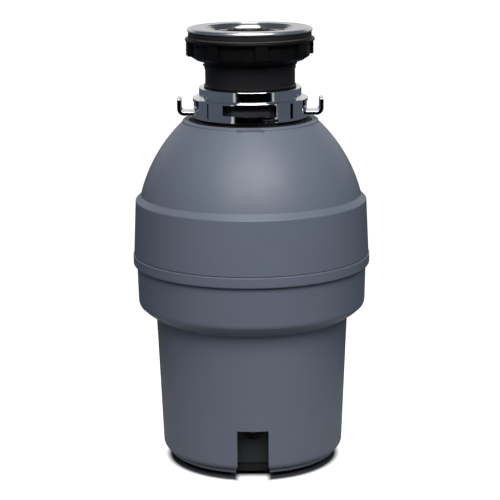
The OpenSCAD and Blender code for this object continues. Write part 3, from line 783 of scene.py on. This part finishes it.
def button_bezel():
    loop = [(6.4, 9.8), (6.4, 1.2), (7.2, 0.8)] + arc(9.1, 1.6, 0.8, -90, 0, 4)
    loop += [(9.9, 3), (8, 3), (8, 9.8)]
    bezel = lathe("button_bezel_cup", loop, PORT_SEGMENTS)
    return place(along_y(bezel, PANEL_Y, BUTTON_Z), "button_bezel")


def reset_button():
    """A cap with a crowned face."""
    crown, side, length = 7.7, 6.1, 11
    face = arc(0, crown, crown, -90, -42, 10)
    loop = [(0, 0)] + face[1:] + [(side, 3.2), (side, length), (0, length)]
    button = lathe("reset_button_cap", loop, 64, closed=False)
    return place(along_y(button, PANEL_Y - 0.6, BUTTON_Z), "reset_button", "reset_button")


# ---------- Sink mount ----------


def sink_flange():
    """Rim, bowl and sleeve of pressed sheet, with a fine groove where the rim turns down."""
    low, out_r, in_r = 352.3, 37, 38
    edge_r = FLANGE_R - 2
    outside = [(out_r, low), (out_r, 399.2)]
    outside += arc(BOWL_EDGE_R, 399.5, BOWL_EDGE_R - out_r, 180, 97, 14)
    outside += [(BOWL_EDGE_R - 0.1, TOP_Z - 0.35), (BOWL_EDGE_R + 0.3, TOP_Z)]
    outside += [(FLANGE_R - 4.4, TOP_Z - 0.05)]
    outside += arc(FLANGE_R - 3.6, TOP_Z + 0.45, 0.8, 215, 325, 6)
    outside += arc(edge_r, TOP_Z - 2, 2, 88, 0, 8) + [(FLANGE_R, TOP_Z - 2.8)]
    inside = [(FLANGE_R - 0.3, TOP_Z - 3), (FLANGE_R - 1, TOP_Z - 2.9)]
    inside += arc(edge_r, TOP_Z - 2, 1, 0, 90, 4)
    inside += arc(in_r + 4, 400, 4, 90, 180, 10) + [(in_r, low)]
    return place(lathe("sink_flange_bowl", outside + inside), "sink_flange")


def flange_gasket():
    low, high, in_r, step_r = 397.2, TOP_Z - 3, 44, 54
    edge_r = FLANGE_R - 0.7
    loop = [(in_r, low)] + arc(edge_r - 0.8, low + 0.8, 0.8, -90, 0, 5)
    loop += [(edge_r - 0.2, low + 2.4)] + arc(edge_r - 0.8, high - 0.6, 0.6, 0, 90, 5)
    loop += [(step_r, high), (step_r, TOP_Z - 1.1), (in_r, TOP_Z - 1.1)]
    return place(lathe("flange_gasket_ring", loop), "flange_gasket")


def mount_nut():
    """The nut's ring, its grip lugs, and a pocket between each two lugs."""
    low, lip_low = NUT_LOW_Z, NUT_TOP_Z - 3
    bore_r, side_r, lug_r, root_r = 43.7, 54.8, 58.2, 52
    loop = [(bore_r, low + 0.6), (bore_r + 0.5, low)] + arc(49.2, low + 0.8, 0.8, -90, -30, 4)
    loop += [(54.3, low + 3.2), (side_r, low + 4), (side_r, lip_low)]
    loop += arc(NUT_LIP_R - 1.2, lip_low + 1.2, 1.2, -90, 0, 5)
    loop += arc(NUT_LIP_R - 1.5, NUT_TOP_Z - 1.5, 1.5, 0, 90, 6)
    loop += [(bore_r + 0.5, NUT_TOP_Z), (bore_r, NUT_TOP_Z - 0.5)]
    nut = lathe("mount_nut_body", loop)
    step = 360 / LUGS
    profile = [(root_r, lip_low + 0.5), (lug_r, lip_low + 0.5), (lug_r, low + 5)]
    profile += arc(57.3, low + 4.9, 0.9, -10, -90, 4) + [(root_r, low + 4)]
    lugs, pockets = [], []
    for i in range(LUGS):
        angle = LUG_START + i * step
        lugs.append(spin(prism_y("lug", profile, -5.5, 5.5), angle))
        pocket = box_piece("pocket", (53.6, -4, NUT_TOP_Z - 7), (56.6, 4, NUT_TOP_Z - 4.8))
        pockets.append(spin(pocket, angle + step / 2))
    join(nut, *lugs)
    cut(nut, *pockets)
    soften(nut, 0.5, angle=45)
    return place(nut, "mount_nut", "mount_nut")


def helix_thread(name, root, crest, pitch, low, high, steps=128):
    """A thread ridge that winds up from low to high, with run-outs at both ends."""
    run_out, crest_half, root_half, sunk = 24, 0.35, 1.1, 0.4
    count = int((high - low) / pitch * steps)
    sections = []
    for i in range(count + 1):
        z = low + pitch * i / steps
        fade = min(1.0, i / run_out, (count - i) / run_out)
        top = root + (crest - root) * fade
        section = [(root - sunk, z - root_half), (top, z - crest_half)]
        section += [(top, z + crest_half), (root - sunk, z + root_half)]
        sections.append((TURN * i / steps, section))
    return sweep(name, sections)


def mount_throat():
    """The tube, its foot, a band and a bead round it, and the thread below the flange."""
    low, bore_r, tube_r, foot_r = THROAT_LOW_Z, 38.1, 41.2, 46
    band_low, band_high, band_r = 345, 349, 45.4
    thread_r, thread_top = 41.9, TOP_Z - 3.2
    guard_low, seat_r = 352, 35
    loop = [(bore_r, low), (foot_r, low)] + arc(foot_r, low + 0.5, 0.5, -60, 0, 3)
    loop += [(foot_r + 0.5, low + 3), (foot_r, low + 3.5), (41.7, low + 3.5), (tube_r, low + 4)]
    loop += [(tube_r, band_low), (band_r, band_low + 0.2), (band_r, band_high - 0.2)]
    loop += [(41.6, band_high), (tube_r, band_high + 0.4), (tube_r, guard_low)]
    loop += [(42.1, 352.1), (42.3, 352.5), (42.3, 353), (41.8, 353.4), (41.25, 353.6)]
    loop += [(tube_r, 354.2), (tube_r, 366.6), (41.45, 367.4), (thread_r, 368.2)]
    loop += [(thread_r, thread_top), (38.9, thread_top), (bore_r, TOP_Z - 5.4)]
    loop += [(bore_r, guard_low + 0.1), (seat_r, guard_low), (seat_r, band_low + 0.4)]
    loop += [(seat_r + 0.4, band_low), (bore_r, band_low)]
    throat = lathe("mount_throat_tube", loop)
    thread = helix_thread("thread", thread_r, 43.2, 3.0, 369.6, TOP_Z - 5.4)
    return place(merge("mount_throat_tube", throat, thread), "mount_throat")


def splash_guard():
    """A rubber ring with flaps cut by slits."""
    top, low, flaps = 366.0, 352.0, 8
    loop = [(33.6, low), (36.2, low), (36.6, low + 0.5), (36.6, top - 0.8), (36.0, top)]
    loop += [(34.2, top), (33.6, top - 0.8), (33.4, low + 5.6)]
    loop += [(30, low + 4.4), (22, low + 4), (12, low + 3.9), (9.2, low + 3.7), (9, low + 3)]
    loop += [(9.2, low + 2.3), (12, low + 2.1), (22, low + 2), (31, low + 2), (33.4, low + 1.2)]
    guard = lathe("splash_guard_flaps", loop)
    slits = []
    for i in range(flaps):
        slit = box_piece("slit", (6, -0.7, low - 1), (28, 0.7, low + 7))
        slits.append(spin(slit, i * 360 / flaps))
    cut(guard, *slits)
    return place(guard, "splash_guard", "splash_guard")


def hook(reach, width):
    """A strip that leaves the ring, turns up and ends in a round tip, seen along Y."""
    strip, bend, rise, root_r = 3.6, 6.6, 7, 51.4
    low = RING_LOW_Z + 1.9
    outline = [(root_r, low)] + arc(reach - bend, low + bend, bend, -90, 0, 12)
    outline += arc(reach - strip / 2, low + bend + rise, strip / 2, 0, 180, 10)
    outline += arc(reach - bend, low + bend, bend - strip, 0, -90, 8)
    outline += [(root_r, low + strip)]
    piece = prism_y("hook", outline, -width / 2, width / 2)
    return soften(piece, 0.7, angle=50, segments=3)


def ring_cutters(ring_r, shoulder, turn):
    """For one half of the lock ring: its window, slot, two slits and the gap behind the hook."""
    low, back, front = RING_LOW_Z, -43, -60
    left, right = -24.8, 23.4
    top = shoulder - 1.8
    window = [(left, low + 7.1), (right, low + 5.3), (right, top), (left, top)]
    cutters = [prism_y("window", window, front, back),
               box_piece("slot", (11.5, front, low + 1.2), (24.8, back, low + 3.8))]
    for angle, width in ((-46.5, 1.8), (44.7, 3.6)):
        slit = box_piece("slit", (47, -width / 2, low + 2.6), (56, width / 2, shoulder - 1.5))
        cutters.append(spin(slit, angle - 90))
    cutters.append(box_piece("gap", (ring_r - 4, -11, low + 7), (ring_r + 2, 11, low + 15)))
    return [spin(cutter, turn) for cutter in cutters]


def lock_ring():
    """A pressed band with a shoulder and a collar, the same again after half a turn."""
    ring_r, collar_r, mouth_r, sheet = 52.8, 47.0, 42.5, 1.7
    shoulder = 341.5
    loop = [(ring_r - sheet, RING_LOW_Z + 0.4), (ring_r - sheet + 0.4, RING_LOW_Z)]
    loop += [(ring_r - 0.5, RING_LOW_Z), (ring_r, RING_LOW_Z + 0.5)]
    loop += arc(ring_r - 0.8, shoulder - 0.8, 0.8, 0, 90, 7)
    loop += arc(collar_r + 0.3, shoulder + 0.3, 0.3, -90, -180, 4)
    loop += arc(collar_r - 0.7, RING_TOP_Z - 0.7, 0.7, 0, 90, 6)
    loop += [(mouth_r + 0.4, RING_TOP_Z), (mouth_r, RING_TOP_Z - 0.4)]
    loop += [(mouth_r, RING_TOP_Z - sheet), (collar_r - sheet, RING_TOP_Z - sheet)]
    loop += [(collar_r - sheet, shoulder - sheet), (ring_r - sheet, shoulder - sheet)]
    ring = lathe("lock_ring_band", loop, SHELL_SEGMENTS)
    halves = (0, 180)
    cut(ring, *[cutter for turn in halves for cutter in ring_cutters(ring_r, shoulder, turn)])
    soften(ring, 0.35, angle=50)
    extras = []
    for turn in halves:
        extras.append(spin(hook(HOOK_REACH, 22), turn))
        ramp = band_arc("ramp", 46.2, 52.0, -0.9, 0.9, -112, -68)
        ramp.data.transform(Matrix.Rotation(math.radians(2), 4, "Y"))
        shift(ramp, z=RING_LOW_Z + 4.5)
        extras.append(spin(soften(ramp, 0.3), turn))
    join(ring, *extras)
    return place(ring, "lock_ring", "lock_ring")


def neck_cushion():
    low, top, in_r, out_r = 315, 321.2, 44.3, 59.3
    loop = [(in_r, low), (out_r - 0.7, low), (out_r, low + 0.7), (out_r, low + 2.5)]
    loop += [(LIP_R - 0.2, low + 2.7)]
    loop += arc(LIP_R - 1, LIP_Z, 0.8, 0, 90, 5) + [(50, top), (in_r, top)]
    return place(lathe("neck_cushion_ring", loop), "neck_cushion")


# ---------- Rear ports ----------


def dishwasher_inlet():
    bore_r, pipe_r, end_r = 8, 10.6, 11
    loop = [(bore_r, 0.6), (bore_r + 0.5, 0), (pipe_r, 0), (pipe_r, 22)]
    loop += [(end_r, 22.5), (end_r, 30.2)]
    loop += arc(10.2, 30.7, 0.8, 0, 90, 4) + [(8.7, 31.5), (bore_r, 31)]
    spout = lathe("dishwasher_inlet_spout", loop, PORT_SEGMENTS)
    return place(along_y(spout, 77, INLET_Z), "dishwasher_inlet")


def inlet_grommet():
    in_r, out_r = 10.7, 14
    loop = [(in_r, 0), (out_r, 0), (out_r, 11)] + arc(out_r - 1, 11.4, 1, 0, 90, 5)
    loop += [(in_r + 0.4, 12.4), (in_r, 12)]
    grommet = lathe("inlet_grommet_ring", loop, PORT_SEGMENTS)
    return place(along_y(grommet, 86.2, INLET_Z), "inlet_grommet")


def cable_gland():
    bore_r, body_r = 5, 8
    loop = [(bore_r, 0.5), (bore_r + 0.5, 0), (body_r, 0), (body_r, 22), (10.4, 22)]
    loop += arc(10.2, 22.8, 0.8, -90, 0, 3) + arc(9.6, 23.6, 1.4, 0, 90, 6)
    loop += [(6, 25), (bore_r, 24.2)]
    gland = lathe("cable_gland_bush", loop, PORT_SEGMENTS)
    return place(along_y(gland, 64, GLAND_Z), "cable_gland")


for make in (upper_shell, lower_shell, service_panel, button_bezel, reset_button, sink_flange,
             flange_gasket, mount_nut, mount_throat, splash_guard, lock_ring, neck_cushion,
             dishwasher_inlet, inlet_grommet, cable_gland):
    make()


# ---------- Stage, light and camera ----------

WHITE = (1, 1, 1)
BLACK = (0, 0, 0)
BOUNCE = (0.37, 0.37, 0.37)

# Panels seen only in reflections: name, start and end in degrees from -Y towards +X, low and high
# in metres, and the material's name, colour and strength.
CARDS = [
    ("dark_card", -31, 48, -0.25, 0.35, "card_black", BLACK, 0.0),
    ("left_strip", -38, -33, -0.1, 0.33, "strip_white", WHITE, 0.6),
    ("right_strip", 50, 54, -0.1, 0.33, "strip_white_2", WHITE, 0.6),
    ("back_card", 125, 235, 0.36, 1.0, "back_white", (1, 0.99, 1), 0.75),
]


def floor_material():
    """A white sheet that glows, with a painted contact shadow where the foot stands, left out as
    painted light where the notch opens.
    """
    n = Nodes("floor_white")
    axes = n.axes()
    # aside and ahead mark the lane in front of the notch that the painted shadow leaves out, as
    # painted light through the notch.
    aside = n.span(n.math("ABSOLUTE", axes["X"]), 1, 0, 0.0115, 0.0165)
    ahead = n.span(axes["Y"], 1, 0, -0.078, -0.066)
    # reach and the ramp after it draw the painted contact shadow round the foot.
    reach = n.math("ADD", n.radius(), n.math("MULTIPLY", axes["Y"], 0.055))
    outside_painted_shadow = n.math("MAXIMUM", n.span(reach, 0, 1, 0.0775, 0.0835),
                        n.math("MULTIPLY", aside, ahead))
    # The dark stop is the painted shadow's colour, and the glow is left out within the painted
    # shadow too.
    n.colour(n.ramp(outside_painted_shadow, [(0.0, (0.05, 0.05, 0.065)), (1.0, (0.4, 0.4, 0.4))]))
    n.roughness(n.span(n.noise(40), 0.6, 0.7))
    n.set(specular=0.1)
    n.glow(WHITE)
    n.link(n.math("MULTIPLY", outside_painted_shadow, 0.95), n.shader.inputs["Emission Strength"])
    return n.material


def sheet_material(name, colour):
    """Matt white card."""
    n = Nodes(name)
    n.colour(n.ramp(n.noise(1.5, detail=2), [(0.3, tint(colour, 0.97)), (0.7, colour)]))
    n.roughness(n.span(n.noise(5), 0.9, 1.0))
    n.set(specular=0.0)
    return n.material


def glow_material(name, colour, strength):
    """A panel that gives light and reflects next to none."""
    n = Nodes(name)
    n.colour(n.ramp(n.noise(1.0, detail=1), [(0.3, BLACK), (0.7, (0.001, 0.001, 0.001))]))
    n.roughness(n.span(n.noise(5), 0.9, 1.0))
    n.glow(colour)
    n.set(strength=strength, specular=0.0)
    return n.material


def hide_from(piece, *kinds):
    """Hides the piece from kinds of ray."""
    for kind in kinds:
        setattr(piece, "visible_" + kind, False)


def card(name, start, end, low, high, material, reach=1.25, steps=16):
    """An upright panel that bends round the object."""
    bm = bmesh.new()
    rows = []
    for i in range(steps + 1):
        a = math.radians(-90 + start + (end - start) * i / steps)
        x, y = reach * math.cos(a), reach * math.sin(a)
        rows.append([bm.verts.new((x, y, z)) for z in (low, high)])
    for (a, b), (c, d) in zip(rows, rows[1:]):
        bm.faces.new([a, c, d, b])
    panel = finish_mesh(name, bm)
    panel.data.materials.append(material)
    hide_from(panel, "camera", "diffuse", "transmission", "shadow")


def sheet(name, radius, z, segments, material, hidden):
    """A level disc at a height, in millimetres."""
    disc = lathe(name, [(0, z), (radius, z)], segments, closed=False)
    disc.data.materials.append(material)
    hide_from(disc, *hidden)


def stage():
    sheet("floor", 450, 0, 96, floor_material(), ("diffuse", "glossy", "shadow"))
    sheet("bounce", 300, -1, 96, sheet_material("bounce_white", BOUNCE),
          ("camera", "transmission", "shadow"))
    sheet("backdrop", 40000, -2, 32, glow_material("backdrop_white", WHITE, 1.1),
          ("diffuse", "glossy", "transmission", "shadow"))
    for name, start, end, low, high, *glow in CARDS:
        card(name, start, end, low, high, glow_material(*glow))


def softbox(name, place, aim, size, power):
    """A rectangular area light at place, turned towards aim."""
    data = bpy.data.lights.new(name, "AREA")
    data.shape = "RECTANGLE"
    data.size, data.size_y = size
    data.energy = power
    lamp = bpy.data.objects.new(name, data)
    bpy.context.scene.collection.objects.link(lamp)
    lamp.location = place
    lamp.rotation_euler = (Vector(aim) - Vector(place)).to_track_quat("-Z", "Y").to_euler()
    return lamp


def lights():
    """A pale blue sky, a wide key light ahead, a small top light and a fill behind."""
    world = bpy.data.worlds.new("studio")
    world.use_nodes = True
    sky = world.node_tree.nodes["Background"].inputs
    sky["Color"].default_value = (0.66, 0.79, 1.0, 1)
    sky["Strength"].default_value = 0.14
    bpy.context.scene.world = world
    middle = (0, 0, 0.25)
    softbox("key", (0.14, -1.42, 1.68), middle, (2.0, 1.0), 56)
    softbox("top", (0.0, -0.1, 2.3), middle, (0.8, 0.8), 9)
    fill = softbox("back_fill", (0.0, 1.9, 0.8), (0, 0, 0.2), (1.2, 1.2), 26)
    hide_from(fill, "glossy")


def camera():
    """A long lens in front of the object and a little above it."""
    place = (-0.0013, -1.583, 0.558)
    pitch, roll = math.radians(12.85), math.radians(-0.44)
    data = bpy.data.cameras.new("camera")
    data.sensor_width = 36
    data.lens = 124.848
    data.clip_start, data.clip_end = 0.05, 60
    view = bpy.data.objects.new("camera", data)
    bpy.context.scene.collection.objects.link(view)
    view.matrix_world = (Matrix.Translation(place)
                         @ Matrix.Rotation(math.pi / 2 - pitch, 4, "X")
                         @ Matrix.Rotation(roll, 4, "Z"))
    bpy.context.scene.camera = view


stage()
lights()
camera()
bpy.context.scene.view_settings.view_transform = "Standard"
bpy.context.scene.view_settings.look = "None"
